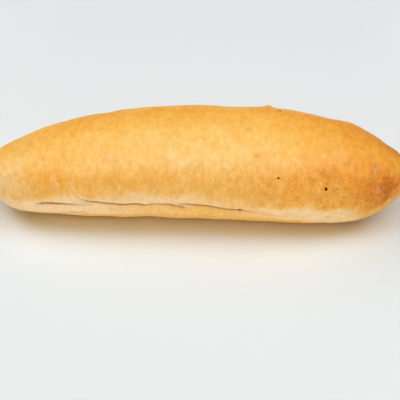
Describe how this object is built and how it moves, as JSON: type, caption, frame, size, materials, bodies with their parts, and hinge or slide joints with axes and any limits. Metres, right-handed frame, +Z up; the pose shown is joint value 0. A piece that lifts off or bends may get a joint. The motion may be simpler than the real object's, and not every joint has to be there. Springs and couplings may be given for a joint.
{
  "type": "fino loaf",
  "caption": "Long soft white finger roll, baked golden on top and pale along its torn side seam, tapering to both tips and lying on its flat base.",
  "frame": {"origin": "centre of the loaf's bounding box, on the surface it lies on", "axes": "+X along the loaf towards its darker, more pointed tip, -Y towards the side with the torn seam, +Z up"},
  "size_m": [0.215, 0.0624, 0.048],
  "materials": {
    "baked_crust": "satin, golden soft bread crust"
  },
  "bodies": {
    "root": {"loaf": "baked_crust"}
  },
  "joints": []
}
